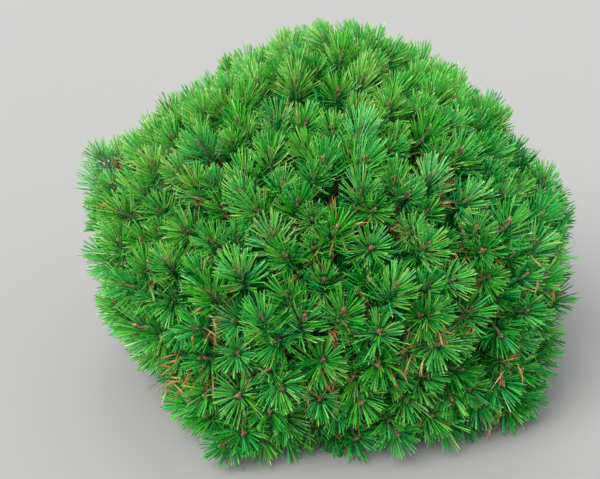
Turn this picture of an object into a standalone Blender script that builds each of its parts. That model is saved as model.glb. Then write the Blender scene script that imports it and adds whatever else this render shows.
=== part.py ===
"""A dwarf bosnian pine: a dense, low bun of needle sprays on a short trunk that forks near the ground.

Metres, +Z up. The ground is z = 0, the trunk's foot is on the origin, and the front of the plant faces -Y.
"""

import math

import bmesh
import bpy
import numpy as np
from mathutils import Matrix, Vector

# The crown, from needle tip to needle tip
CROWN_WIDTH = 0.91
CROWN_DEPTH = 0.86
CROWN_HEIGHT = 0.66
NEEDLE_REACH = 0.037  # how far the needles stand out past the buds
WAIST_HEIGHT = 0.29  # where the crown is widest
ROOM_BELOW = 0.42  # half axis of the lower crown, which the ground cuts off
FULLNESS = (1.5, 2.2)  # above and below the waist: 2 is an ellipsoid, less is more pointed, more is squarer
LOWEST_BUD = 0.036
GROUND_GAP = 0.004  # the lowest needle tips stop this far above the ground
# Swells of the crown: azimuth from +X towards +Y, elevation, spread, and share of the radius
SWELLS = (
    (172, 13, 12, 0.10),
    (212, -28, 14, -0.06),
    (243, -33, 16, 0.12),
    (-90, -40, 18, -0.02),
    (-38, -30, 18, 0.12),
    (-20, -28, 18, 0.03),
    (-5, 1, 12, 0.035),
    (50, -33, 18, 0.05),
    (125, -33, 18, 0.06),
    (90, 72, 40, 0.045),
    (15, 45, 20, 0.025),
    (150, 40, 18, -0.04),
)
GROOVE, GROOVE_WIDTH = 0.05, 9.0  # depth between masses as a share of the radius, and width in degrees

# Masses of foliage in rings: name, number, elevation, and azimuth of the first
RINGS = (("top", 1, 90, 0), ("upper", 6, 40, -90), ("lower", 9, -4, -70))
UNEVENNESS = 6  # degrees that a mass's direction strays from its place in the ring
SEED_SHARE = 0.72  # a mass's centre, as a share of the way from the heart to the buds
STEM_SHARE = 0.50  # where its stem starts
HOLLOW_SHARE = 0.56  # inside this there are only boughs
FORK_ROOM = 0.80  # twigs fork inside this
MASS_GAP = 0.0012  # between two masses' spaces
CLEAR_OF_TRUNK = 0.12  # how far a lower mass stays from the plant's axis
CORE_DEPTH = 0.050  # the dense core's surface, below the buds
CORE_LUMPS = 0.014
CORE_FLOOR = 0.034  # its underside, above the ground
CORE_GAP = 0.0005  # between it and the edge of its space
FORK_STEP = 0.36  # how far along each fork lies

# A spray: needles round one shoot, drawn as a star of narrow blades behind a bud
SPRAY_SPACING = 0.064
SPRAY_BLADES = 8
BLADE_LENGTH = 0.064
BLADE_TILTS = (31, 66)  # degrees from the shoot, by turns
BLADE_ROOT = 0.30  # where two blades part, as a share of their length
BLADE_TURN, BLADE_SWAY, BLADE_CUT = 0.18, 6, 0.15  # chance, in steps round, degrees and share of length
BLADE_FIT = 0.98  # how much of the room up to a plane a blade fills
BUD_LENGTH = 0.018  # from the blades' centre to the bud's tip
NECK_LENGTH = 0.013
SHOOT_RADII = (0.0042, 0.0032)  # at the root and the neck
SHOOT_LENGTH = 0.075  # of the shoot and the twig it ends, from neck to root
SHOOT_LIFT = (0.30, 0.80)  # how much shoots turn upwards from the crown's surface, at the ground and the top
SPRAY_MARGIN = 0.0006
BUD_MARGIN, NECK_MARGIN = 0.013, 0.008  # kept from the edges of the mass's space

# Wood
JOINT_GAP = 0.0003  # between limbs that meet
TRUNK_FOOT_RADIUS = 0.036
TRUNK_TIP_RADIUS = 0.010
TRUNK_BOW = 0.012
FLARE_RADIUS, FLARE_HEIGHT, FLARE_LOBES = 0.020, 0.028, 5
TRUNK_RINGS, TRUNK_SIDES = 12, 15
RING_CROWDING = 1.7  # rings lie closer at the foot
BOUGH_HEIGHTS = {"upper": (0.175, 0.212), "lower": (0.058, 0.094, 0.130)}  # on the trunk, by turns
BOUGH_RADII = {"upper": (0.0105, 0.0075), "lower": (0.0120, 0.0080)}  # at the trunk and the tip
BOUGH_POINTS = 6
BOUGH_PULL = 0.4  # how far each end's direction bends the curve, as a share of its span
BOUGH_RISE = {"upper": 50, "lower": 28}  # degrees above level where it leaves the trunk
STEM_SIDES, STEM_TAPER = 6, 0.7

SEED = 23
HEART = np.array((0.0, 0.0, WAIST_HEIGHT))
UP = np.array((0.0, 0.0, 1.0))


def direction(azimuth, elevation):
    """The unit vector at these angles, in degrees."""
    a, e = math.radians(azimuth), math.radians(elevation)
    return np.array((math.cos(a) * math.cos(e), math.sin(a) * math.cos(e), math.sin(e)))


def unit(vectors):
    return vectors / np.linalg.norm(vectors, axis=-1, keepdims=True)


def degrees_between(ways, way):
    return np.degrees(np.arccos(np.clip(ways @ way, -1, 1)))


def mass_list():
    """Each mass's name, ring, place in its ring and outward direction."""
    rng = np.random.default_rng(SEED)
    masses = []
    for ring, count, elevation, first in RINGS:
        for i in range(count):
            name = f"{ring}_foliage" if count == 1 else f"{ring}_foliage_{i + 1}"
            stray = UNEVENNESS * rng.uniform(-1, 1, 2)
            way = direction(first + 360 * i / count + stray[0], elevation + (count > 1) * stray[1])
            masses.append({"name": name, "ring": ring, "place": i, "way": way})
    return masses


MASSES = mass_list()


def crown_radius(ways):
    """From the heart to the buds: level sections are ellipses, upright ones superellipses, with swells, and a
    groove where two masses meet."""
    half_x, half_y = CROWN_WIDTH / 2 - NEEDLE_REACH, CROWN_DEPTH / 2 - NEEDLE_REACH
    half_up = CROWN_HEIGHT - NEEDLE_REACH - WAIST_HEIGHT
    above = ways[..., 2] > 0
    power = np.where(above, *FULLNESS)
    level = np.linalg.norm(ways[..., :2] / (half_x, half_y), axis=-1)
    upright = np.abs(ways[..., 2]) / np.where(above, half_up, ROOM_BELOW)
    radius = (level**power + upright**power) ** (-1 / power)
    for azimuth, elevation, spread, share in SWELLS:
        away = degrees_between(ways, direction(azimuth, elevation)) / spread
        radius = radius * (1 + share * np.exp(-(away**2)))
    nearest = np.sort([degrees_between(ways, mass["way"]) for mass in MASSES], axis=0)
    return radius * (1 - GROOVE * np.exp(-(((nearest[1] - nearest[0]) / GROOVE_WIDTH) ** 2)))


def share_of_crown(points):
    """0 at the heart and 1 at the buds."""
    return np.linalg.norm(points - HEART, axis=-1) / crown_radius(unit(points - HEART))


def outward(points, step=0.02):
    """The crown's outward direction, from the slope of share_of_crown."""
    steps = step * np.eye(3)
    return unit(np.stack([share_of_crown(points + s) - share_of_crown(points - s) for s in steps], -1))


def scatter_buds(spacing, seed, tries=9000):
    """Points on the crown in a seeded random order, each kept if no earlier one is too near."""
    ways = unit(np.random.default_rng(seed).normal(size=(tries, 3)))
    points = HEART + ways * crown_radius(ways)[:, None]
    kept = np.empty((0, 3))
    for point in points[points[:, 2] > LOWEST_BUD]:
        if not len(kept) or np.linalg.norm(kept - point, axis=1).min() > spacing:
            kept = np.vstack([kept, point])
    return kept


def shoot_axes(buds):
    """Outwards, with a lift that grows with the height."""
    low, high = SHOOT_LIFT
    lift = low + (high - low) * buds[:, 2:] / CROWN_HEIGHT
    return unit(outward(buds) + lift * UP)


def mass_planes(mass):
    """The planes round a mass's space, as rows of an outward normal and a distance."""
    rows = []
    for other in MASSES:
        if other is mass:
            continue
        normal = unit(other["seed"] - mass["seed"])
        rows.append((*normal, normal @ (other["seed"] + mass["seed"]) / 2 - MASS_GAP / 2))
    rows.append((*-UP, -GROUND_GAP))
    if mass["ring"] == "lower":
        level = unit(mass["way"] * (1, 1, 0))
        rows.append((*-level, -CLEAR_OF_TRUNK))
    return np.array(rows)


def moved_inside(point, planes, margin):
    """The point, moved in from each plane that it is nearer to than the margin."""
    for *normal, distance in planes:
        short = margin - (distance - point @ normal)
        if short > 0:
            point = point - short * np.array(normal)
    return point


def room_along(point, way, planes):
    """How far a point can go before it meets a plane."""
    facing = planes[:, :3] @ way
    left = planes[:, 3] - planes[:, :3] @ point
    return (left[facing > 1e-6] / facing[facing > 1e-6]).min(initial=1.0)


def fork(node, ends, twigs):
    """Splits the ends in two across their widest spread, with a fork part of the way to each half, until each
    has a twig of its own. A twig is its start, its end and the number of ends it carries."""
    if len(ends) == 1:
        twigs.append((node, ends[0], 1))
        return
    middle = ends.mean(0)
    widest = np.linalg.svd(ends - middle)[2][0]
    half = (ends - middle) @ widest > 0
    for side in (ends[half], ends[~half]):
        point = node + FORK_STEP * (side.mean(0) - node)
        twigs.append((node, point, len(side)))
        fork(point, side, twigs)


def material(name, colour, roughness):
    made = bpy.data.materials.new(name)
    made.use_nodes = True
    shader = made.node_tree.nodes["Principled BSDF"]
    shader.inputs["Base Color"].default_value = (*colour, 1)
    shader.inputs["Roughness"].default_value = roughness
    shader.inputs["Metallic"].default_value = 0
    return made


def add_object(name, mesh, collection, made_of):
    obj = bpy.data.objects.new(name, mesh)
    obj.data.materials.clear()
    obj.data.materials.append(made_of)
    collection.objects.link(obj)
    return obj


def with_boolean(obj, operation, other):
    """The object's mesh after a Boolean with another object or with a collection."""
    modifier = obj.modifiers.new("Boolean", "BOOLEAN")
    modifier.operation = operation
    if isinstance(other, bpy.types.Collection):
        modifier.operand_type = "COLLECTION"
        modifier.collection = other
    else:
        modifier.object = other
    graph = bpy.context.evaluated_depsgraph_get()
    mesh = bpy.data.meshes.new_from_object(obj.evaluated_get(graph))
    obj.modifiers.clear()
    obj.data = mesh


def keep_largest_shell(mesh):
    """Drops sealed hollows and loose scraps that a union can leave."""
    bm = bmesh.new()
    bm.from_mesh(mesh)
    left, shells = set(bm.verts), []
    while left:
        front = [left.pop()]
        shell = set(front)
        while front:
            near = {edge.other_vert(vert) for vert in front for edge in vert.link_edges} - shell
            shell |= near
            front = list(near)
        left -= shell
        shells.append(shell)
    shells.sort(key=len)
    bmesh.ops.delete(bm, geom=[vert for shell in shells[:-1] for vert in shell], context="VERTS")
    bm.to_mesh(mesh)
    bm.free()


def loft(rings):
    """A closed mesh through rings that have the same number of points."""
    count, sides = rings.shape[:2]
    faces = [tuple(range(sides))[::-1], tuple(range((count - 1) * sides, count * sides))]
    for k in range(count - 1):
        for i in range(sides):
            j = (i + 1) % sides
            faces.append((k * sides + i, k * sides + j, (k + 1) * sides + j, (k + 1) * sides + i))
    mesh = bpy.data.meshes.new("loft")
    mesh.from_pydata(rings.reshape(-1, 3).tolist(), [], faces)
    return mesh


def trunk_centre(height, tip_height):
    return np.array((-TRUNK_BOW * math.sin(math.pi * height / tip_height), 0, height))


def trunk_radius(height, tip_height, angle):
    """A straight taper, and a flare that spreads into the roots at the foot."""
    flare = math.exp(-height / FLARE_HEIGHT)
    lobes = 0.5 + 0.5 * math.cos(FLARE_LOBES * angle)
    taper = TRUNK_FOOT_RADIUS + (TRUNK_TIP_RADIUS - TRUNK_FOOT_RADIUS) * height / tip_height
    return taper + FLARE_RADIUS * flare * (0.35 + 0.65 * lobes)


def trunk_mesh(tip_height, extra=0.0):
    """Rings that crowd together at the flare. With extra, it is that much thicker and longer."""
    rings = []
    for k in range(TRUNK_RINGS):
        height = tip_height * (k / (TRUNK_RINGS - 1)) ** RING_CROWDING
        centre = trunk_centre(height, tip_height)
        ring = []
        for i in range(TRUNK_SIDES):
            angle = 2 * math.pi * i / TRUNK_SIDES
            radius = trunk_radius(height, tip_height, angle) + extra
            ring.append(centre + radius * np.array((math.cos(angle), math.sin(angle), 0)))
        rings.append(ring)
    rings = np.array(rings)
    rings[0, :, 2] -= extra
    rings[-1, :, 2] += extra
    return loft(rings)


def bough_path(mass, tip_height):
    """A curve that leaves the trunk at its rise and ends straight along the mass's direction."""
    heights, rise = BOUGH_HEIGHTS[mass["ring"]], BOUGH_RISE[mass["ring"]]
    start = trunk_centre(heights[mass["place"] % len(heights)], tip_height)
    level = unit(mass["way"] * (1, 1, 0))
    leaving = math.cos(math.radians(rise)) * level + math.sin(math.radians(rise)) * UP
    end = mass["stem"] - 2 * mass["stem_radius"] * mass["way"]
    pull = BOUGH_PULL * np.linalg.norm(end - start)
    t = np.linspace(0, 1, BOUGH_POINTS)[:, None]
    a, b = start + pull * leaving, end - pull * mass["way"]
    curve = (1 - t) ** 3 * start + 3 * (1 - t) ** 2 * t * a + 3 * (1 - t) * t**2 * b + t**3 * end
    return np.vstack([curve, mass["stem"]])


def limb_object(name, points, radii, collection, made_of):
    """A tapering tube: a curve with a bevel, made a mesh with its caps welded."""
    curve = bpy.data.curves.new(name, "CURVE")
    curve.dimensions = "3D"
    curve.bevel_depth = 1
    curve.bevel_resolution = 1
    curve.use_fill_caps = True
    spline = curve.splines.new("POLY")
    spline.points.add(len(points) - 1)
    for knot, point, radius in zip(spline.points, points, radii):
        knot.co = (*point, 1)
        knot.radius = radius
    source = bpy.data.objects.new(name + "_line", curve)
    collection.objects.link(source)
    graph = bpy.context.evaluated_depsgraph_get()
    mesh = bpy.data.meshes.new_from_object(source.evaluated_get(graph))
    bpy.data.objects.remove(source)
    bm = bmesh.new()
    bm.from_mesh(mesh)
    bmesh.ops.remove_doubles(bm, verts=bm.verts, dist=1e-5)
    bmesh.ops.recalc_face_normals(bm, faces=bm.faces)
    bm.to_mesh(mesh)
    bm.free()
    return add_object(name, mesh, collection, made_of)


def core_shell():
    """A lumpy ball that lies a little below the buds all round."""
    rng = np.random.default_rng(SEED)
    bm = bmesh.new()
    bmesh.ops.create_icosphere(bm, subdivisions=4, radius=1)
    for vert in bm.verts:
        way = unit(np.array(vert.co))
        depth = CORE_DEPTH + CORE_LUMPS * (2 * rng.random() - 1)
        vert.co = HEART + way * (crown_radius(way) - depth)
    return bm


def core_mesh(mass, planes, shell):
    """The part of the shell that lies in the mass's space, outside the hollow and above the floor."""
    radius = crown_radius(mass["way"])
    hollow = (*-mass["way"], -mass["way"] @ HEART - HOLLOW_SHARE * radius)
    bm = shell.copy()
    for *normal, distance in (*planes, hollow, (*-UP, -CORE_FLOOR)):
        geom = [*bm.verts, *bm.edges, *bm.faces]
        point = np.array(normal) * (distance - CORE_GAP)
        cut = bmesh.ops.bisect_plane(bm, geom=geom, plane_co=point, plane_no=normal, clear_outer=True)
        edges = [item for item in cut["geom_cut"] if isinstance(item, bmesh.types.BMEdge)]
        if edges:
            bmesh.ops.edgeloop_fill(bm, edges=edges)
    bmesh.ops.dissolve_degenerate(bm, dist=1e-4, edges=bm.edges)
    bmesh.ops.recalc_face_normals(bm, faces=bm.faces)
    mesh = bpy.data.meshes.new("core")
    bm.to_mesh(mesh)
    bm.free()
    return mesh


def stem_mesh(mass):
    """From just past the bough's tip to the mass's centre."""
    start = mass["stem"] + JOINT_GAP * mass["way"]
    length = np.linalg.norm(mass["seed"] - start)
    turn = Vector(mass["way"]).to_track_quat("Z", "Y").to_matrix().to_4x4()
    place = Matrix.Translation(start + mass["way"] * length / 2) @ turn
    bm = bmesh.new()
    foot, tip = mass["stem_radius"], STEM_TAPER * mass["stem_radius"]
    bmesh.ops.create_cone(
        bm, cap_ends=True, segments=STEM_SIDES, radius1=foot, radius2=tip, depth=length, matrix=place
    )
    mesh = bpy.data.meshes.new("stem")
    bm.to_mesh(mesh)
    bm.free()
    return mesh


def spray_mesh(bud, axis, root, planes, rng):
    """A loft from a three-sided twig to a star of blades, closed by the bud. Planes cut blades short."""
    centre = bud - BUD_LENGTH * axis
    neck = centre - NECK_LENGTH * axis
    side = unit(np.cross(axis, root - bud))
    other = np.cross(axis, side)
    turned = rng.random() * 2 * math.pi

    def spoke(angle):
        return math.cos(turned + angle) * side + math.sin(turned + angle) * other

    twig = []
    for point, radius in zip((root, neck), SHOOT_RADII):
        twig += [point + radius * spoke(2 * math.pi * k / 3) for k in range(3)]
    star = []
    count = 2 * SPRAY_BLADES
    for k in range(count):
        sway = rng.uniform(-1, 1, 2) * (BLADE_TURN, BLADE_SWAY)
        tilt, length = BLADE_TILTS[(k // 2) % 2] + sway[1], BLADE_LENGTH * (1 - BLADE_CUT * rng.random())
        if k % 2:
            tilt, length = sum(BLADE_TILTS) / 2, BLADE_ROOT * BLADE_LENGTH
        lean = math.radians(tilt)
        way = math.cos(lean) * axis + math.sin(lean) * spoke(2 * math.pi * (k + sway[0]) / count)
        star.append(centre + way * min(length, BLADE_FIT * room_along(centre, way, planes)))
    faces = [(2, 1, 0), (0, 1, 4, 3), (1, 2, 5, 4), (2, 0, 3, 5)]
    for k in range(count):
        after = (k + 1) % count
        corner, next_corner = 3 + 3 * k // count, 3 + 3 * after // count
        faces.append((6 + k, 6 + after, 6 + count))
        faces.append((corner, 6 + after, 6 + k))
        if corner != next_corner:
            faces.append((corner, next_corner, 6 + after))
    mesh = bpy.data.meshes.new("spray")
    mesh.from_pydata([point.tolist() for point in (*twig, *star, bud)], [], faces)
    return mesh


def foliage_object(mass, buds, shell, collection, made_of):
    """One mass: its core, its stem and its sprays, joined."""
    rng = np.random.default_rng(SEED + len(buds) + 101 * MASSES.index(mass))
    planes = mass_planes(mass)
    obj = add_object(mass["name"], core_mesh(mass, planes, shell), collection, made_of)
    pieces = bpy.data.collections.new(mass["name"] + "_pieces")
    bpy.context.scene.collection.children.link(pieces)
    add_object("stem", stem_mesh(mass), pieces, made_of)
    twigs = []
    fork(mass["seed"], HEART + FORK_ROOM * (buds - HEART), twigs)
    ends = {tuple(end): start for start, end, carried in twigs if carried == 1}
    for bud, axis in zip(buds, shoot_axes(buds)):
        node = ends[tuple(HEART + FORK_ROOM * (bud - HEART))]
        others = buds[np.linalg.norm(buds - bud, axis=1) > 1e-6]
        normals = unit(others - bud)
        between = np.column_stack([normals, ((others + bud) / 2 * normals).sum(1) - SPRAY_MARGIN])
        around = np.vstack([planes, between])
        reach = (BUD_LENGTH + NECK_LENGTH) * axis
        neck = moved_inside(moved_inside(bud, planes, BUD_MARGIN) - reach, planes, NECK_MARGIN)
        root = neck + min(SHOOT_LENGTH, np.linalg.norm(node - neck)) * unit(node - neck)
        add_object("spray", spray_mesh(neck + reach, axis, root, around, rng), pieces, made_of)
    with_boolean(obj, "UNION", pieces)
    for piece in list(pieces.objects):
        bpy.data.objects.remove(piece)
    bpy.data.collections.remove(pieces)
    keep_largest_shell(obj.data)
    return obj


def build():
    for obj in list(bpy.data.objects):
        bpy.data.objects.remove(obj)
    plant = bpy.data.collections.new("bosnian pine")
    cutters = bpy.data.collections.new("cutters")
    for collection in (plant, cutters):
        bpy.context.scene.collection.children.link(collection)
    bark = material("bark", (0.20, 0.16, 0.13), 0.85)
    needles = material("needles", (0.07, 0.26, 0.05), 0.5)

    for mass in MASSES:
        radius = crown_radius(mass["way"])
        mass["seed"] = HEART + SEED_SHARE * radius * mass["way"]
        mass["stem"] = HEART + STEM_SHARE * radius * mass["way"]
        mass["stem_radius"] = BOUGH_RADII.get(mass["ring"], [TRUNK_TIP_RADIUS])[-1]

    tip_height = MASSES[0]["stem"][2]
    add_object("trunk", trunk_mesh(tip_height), plant, bark)
    cutter = add_object("trunk_cutter", trunk_mesh(tip_height, JOINT_GAP), cutters, bark)
    cutter.hide_render = True
    cutter.display_type = "WIRE"
    for mass in MASSES[1:]:
        path = bough_path(mass, tip_height)
        radii = np.linspace(*BOUGH_RADII[mass["ring"]], len(path))
        bough = limb_object(mass["name"].replace("foliage", "bough"), path, radii, plant, bark)
        with_boolean(bough, "DIFFERENCE", cutter)

    buds = scatter_buds(SPRAY_SPACING, SEED)
    nearest = np.argmin([np.linalg.norm(buds - mass["seed"], axis=1) for mass in MASSES], axis=0)
    shell = core_shell()
    for i, mass in enumerate(MASSES):
        foliage_object(mass, buds[nearest == i], shell, plant, needles)


build()
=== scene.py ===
"""The looks of a dwarf bosnian pine: needles in pairs round every shoot, buds, twigs, and bark on the limbs.

Metres, +Z up. Every piece is worked out as whole arrays of points, in the frame of the solids it replaces.
"""
import math

import bpy
import numpy as np
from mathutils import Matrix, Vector


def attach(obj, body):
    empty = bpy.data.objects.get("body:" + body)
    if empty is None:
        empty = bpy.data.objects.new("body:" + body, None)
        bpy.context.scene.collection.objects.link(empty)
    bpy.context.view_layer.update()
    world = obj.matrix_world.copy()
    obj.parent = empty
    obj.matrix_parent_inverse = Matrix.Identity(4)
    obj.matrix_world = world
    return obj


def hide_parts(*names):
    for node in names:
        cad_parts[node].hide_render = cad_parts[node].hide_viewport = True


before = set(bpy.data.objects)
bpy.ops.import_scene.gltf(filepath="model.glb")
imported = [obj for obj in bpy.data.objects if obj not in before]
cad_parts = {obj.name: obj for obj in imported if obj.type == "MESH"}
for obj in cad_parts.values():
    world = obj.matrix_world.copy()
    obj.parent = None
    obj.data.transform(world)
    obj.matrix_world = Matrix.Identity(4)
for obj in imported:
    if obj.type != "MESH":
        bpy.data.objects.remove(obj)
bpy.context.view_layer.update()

# The crown and its masses, as in the part's source
CROWN_WIDTH, CROWN_DEPTH, CROWN_HEIGHT = 0.91, 0.86, 0.66
NEEDLE_REACH = 0.037
WAIST_HEIGHT, ROOM_BELOW = 0.29, 0.42
FULLNESS = (1.5, 2.2)  # powers of the upright curve, above the waist and below it
LOWEST_BUD = 0.036
# Each swell or hollow has its azimuth, elevation and spread in degrees, and its share of the radius
SWELLS = (
    (172, 13, 12, 0.10),
    (212, -28, 14, -0.06),
    (243, -33, 16, 0.12),
    (-90, -40, 18, -0.02),
    (-38, -30, 18, 0.12),
    (-20, -28, 18, 0.03),
    (-5, 1, 12, 0.035),
    (50, -33, 18, 0.05),
    (125, -33, 18, 0.06),
    (90, 72, 40, 0.045),
    (15, 45, 20, 0.025),
    (150, 40, 18, -0.04),
)
GROOVE, GROOVE_WIDTH = 0.05, 9.0
# Each ring of masses has its name, their count, their elevation and the first one's azimuth
RINGS = (("top", 1, 90, 0), ("upper", 6, 40, -90), ("lower", 9, -4, -70))
UNEVENNESS = 6
SEED_SHARE, STEM_SHARE, FORK_ROOM, FORK_STEP = 0.72, 0.50, 0.80, 0.36
SPRAY_SPACING = 0.064
SHOOT_LIFT = (0.30, 0.80)
TRUNK_FOOT_RADIUS, TRUNK_TIP_RADIUS, TRUNK_BOW = 0.036, 0.010, 0.012
FLARE_RADIUS, FLARE_HEIGHT, FLARE_LOBES = 0.020, 0.028, 5
FLARE_BETWEEN = 0.35  # share of the flare that is left between two lobes
BOUGH_HEIGHTS = {"upper": (0.175, 0.212), "lower": (0.058, 0.094, 0.130)}
BOUGH_RADII = {"upper": (0.0105, 0.0075), "lower": (0.0120, 0.0080)}
BOUGH_PULL = 0.4
BOUGH_RISE = {"upper": 50, "lower": 28}
SEED = 23
HEART = np.array((0.0, 0.0, WAIST_HEIGHT))
UP = np.array((0.0, 0.0, 1.0))
RIGHT = np.array((1.0, 0.0, 0.0))

# Seeds and numbers of tries of what is scattered
FOLIAGE_SEED, SHADE_SEED, CAUGHT_SEED = SEED + 1, SEED + 9, SEED + 20
BUD_TRIES, CAUGHT_TRIES = 9000, 4000

# Shoots: the source's own, finer ones between them, and more at the crowded top and foot of the crown. Each
# row has their spacing, the heights of their buds, how far these lie below the surface, and their vigour
SHOOTS = (
    (SPRAY_SPACING, (LOWEST_BUD, CROWN_HEIGHT), (0.0, 0.010), (0.84, 1.14)),
    (0.045, (LOWEST_BUD, CROWN_HEIGHT), (0.002, 0.022), (0.62, 1.0)),
    (0.037, (0.44, CROWN_HEIGHT), (0.0, 0.018), (0.62, 0.95)),
    (0.036, (0.022, 0.085), (0.0, 0.012), (0.70, 1.0)),
)
BUD_STRAY = np.array((0.008, 0.008, 0.004))  # how far buds stray from their rule
SHOOT_STRAY, SHADE_STRAY = 0.28, 0.56  # how far shoots lean from their rule, as a tangent
TIP_LIFT = 0.45  # how much more the shoots turn upwards at the top of the crown
# Side shoots in the shade, in rows too: their spacing, heights and share of the crown
SHADE_LAYERS = (
    (0.048, (LOWEST_BUD, CROWN_HEIGHT), 0.87),
    (0.062, (LOWEST_BUD, CROWN_HEIGHT), 0.70),
    (0.068, (0.29, 0.44), 0.93),
)

# Needles: pairs round a shoot, from just behind its bud
PAIRS = 54
GOLDEN_ANGLE = math.pi * (3 - math.sqrt(5))
TURN_STRAY = 0.3
BARE_TIP = 0.002
CLOTHED_LENGTH = 0.044
LIVE_FOOT, OLD_FOOT = 0.8, 0.5  # how far from the shoot's axis needles start, in its radii
NEEDLE_LENGTH = (0.048, 0.056)  # at the tip of the shoot and at its foot
LENGTH_STRAY, REACH_STRAY = (0.86, 1.06), (0.92, 1.04)  # of a pair, and of each of its needles
LENGTH_BY_VIGOUR = 0.7  # the power of the shoot's vigour that the length follows
SHORTER_ABOVE = 0.12  # share of the length that needles lose up to the top of the crown
NEEDLE_WIDTH, NEEDLE_THICKNESS = 0.0019, 0.0015
FLAT_SIDE, ROUND_SIDE = 0.4, 0.6  # how the thickness is shared out from the middle
FINER_ABOVE = 0.18  # share of the width that they lose up to the top of the crown
TIP_ANGLES, FOOT_ANGLES = (28, 16), (90, 58)  # at the shoot's tip and foot, at the ground and at the top
ANGLE_CURVE, LENGTH_CURVE = 0.8, 0.5  # powers of the place along the shoot that they follow
ANGLE_STRAY = 7
PAIR_SPREAD = (0.07, 0.10)  # how far the needles of a pair part, as a tangent, at the ground and at the top
OLD_SPREAD = 0.07
SPREAD_STRAY = (0.4, 1.5)
NEEDLE_BEND = (1, 8)  # degrees that the middle stands off, and the tip leans in
NEEDLE_RINGS = ((0.24, 0.85), (0.90, 1.0))  # place and width of the rings between its two points
FLOOR_GAP = 0.003

# Older needles, on the shoots, on the side shoots in the shade and on the inner twigs: pairs, the length
# that they clothe, and their ring, whose width is more than life where only their shade shows
OLD_PAIRS, SHADE_PAIRS, INNER_PAIRS = 20, 26, 12
OLD_CLOTHED, SHADE_CLOTHED, INNER_CLOTHED = 0.085, 0.05, 0.20
OLD_RING, SHADE_RING, INNER_RING = (0.6, 1.4), (0.6, 1.8), (0.6, 2.5)
INNER_GROUPS = 700
CLOTHED_SPAN = (0.02, 0.98)  # places along a curve that needles keep to
OLD_LENGTHS = (0.8, 1.05)
OLD_ANGLES = (50, 98)
DEAD_LOW, DEAD_HIGH = 0.60, 0.10  # share of dead ones at the ground and at the top
POCKET_SHARE = 0.3  # shoots whose older needles are mostly dead
POCKET_DEAD, OTHER_DEAD = 1.6, 0.35  # what multiplies the dead share in them and elsewhere
# The old needles' level rises with the height (OLD_BY_HEIGHT): painted light towards the top
OLD_LEVEL, OLD_BY_HEIGHT, OLD_LEVEL_STRAY, OLD_TOP_LEVEL = 0.4, 1.6, 0.7, 3

# Dead needles caught among the lower sprays, in tufts
CAUGHT_TUFTS, CAUGHT_PAIRS = 48, 18
CAUGHT_HEIGHTS, CAUGHT_DEPTHS, CAUGHT_STRAY = (0.03, 0.29), (0.012, 0.034), 0.014
CAUGHT_HANG = (0.5, 0.8, 0.5)  # how far a tuft hangs outwards, down and at random
CAUGHT_LEAN, CAUGHT_ANGLE = 0.6, 8
CAUGHT_LENGTHS, CAUGHT_RING = (0.6, 1.0), (0.5, 0.8)

# Twigs and shoots. A twig is as thick and as old as the count of shoots that it carries makes it
TIP_TWIG_RADIUS, TWIG_GROWTH, WIDEST_TWIG = 0.0021, 0.42, 0.0075
TWIG_TAPER, SHOOT_TAPER = (1.08, 0.94), (0.85, 1.0)
TWIG_AGE, TWIG_AGEING = 0.35, 0.12  # with one shoot, and more with each doubling
SHOOT_AGES, SHADE_AGES = (0.5, 0.0), (0.8, 0.5)  # at the foot and at the tip
TWIG_LIFT = 0.3
TWIG_PULL, SHOOT_PULL = 0.33, 0.42
SHOOT_RADIUS = 0.0032
SHADE_SHOOT_RADIUS = 0.7 * SHOOT_RADIUS
TWIG_SIDES, SHOOT_SIDES = 4, 5
TWIG_RINGS, SHOOT_RINGS = 5, 8
DEEPER = 0.08  # share of the crown by which a side shoot starts deeper than it ends
STEEP = 0.7  # the rise above which a tube takes its sides from the right and not from above

# Buds: a large one, and small ones that lean out round it
BUD_LENGTH, BUD_RADIUS = 0.0120, 0.0041
BUD_FOOT, BUD_FULLNESS, BUD_TAPER, BUD_STEP, BUD_POINT = 0.16, 0.9, 0.25, 0.13, 0.04
BUD_OVERLAP, BUD_SUNK, SIDE_BUD_SUNK = 0.001, 0.002, 0.001
SIDE_BUDS, SIDE_BUD_SIZES = 3, (0.5, 0.72)
SIDE_BUD_TURN, SIDE_BUD_OFF, SIDE_BUD_LEAN = 0.4, 0.8, 0.5
MIDDLE_BUD_GRID, SIDE_BUD_GRID = (5, 5), (4, 4)  # rows and columns
DARK_SCALES, PALE_SCALES = (0, 2), (1, 4)  # ranges of their tints

# Bark: its depth, the level of its relief that keeps the limb's radius, and its plates, as how many go round
# the limb and how long they are
TRUNK_BARK_DEPTH, BOUGH_BARK_DEPTH = 0.0016, 0.0008
KEPT_LEVEL = 0.7
TRUNK_PLATES, BOUGH_PLATES = (13, 0.032), (7, 0.020)
TRUNK_BARK_SEED, BOUGH_BARK_SEED = 5, 40
WARP_PACE, WARP = 1.7, (1.1, 0.8)
FURROW_SLOPE, CRACK_SLOPE, CRACK_PACE, CRACK_LEVEL = 3.2, 3.6, 2.3, 0.45
FINE_SHARE, FINE_PACE = 0.14, (4, 6)
NOISE_ROWS = 512
TRUNK_ROWS, TRUNK_COLUMNS, TRUNK_CROWDING = 150, 90, 1.3  # rows lie closer towards the foot
BOUGH_ROWS, BOUGH_COLUMNS, BOUGH_POINTS = 46, 22, 80
COLLAR, COLLAR_LENGTH, COLLAR_ANGLE, HIDDEN_POINTS = 0.003, 0.012, 0.3, 3
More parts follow.
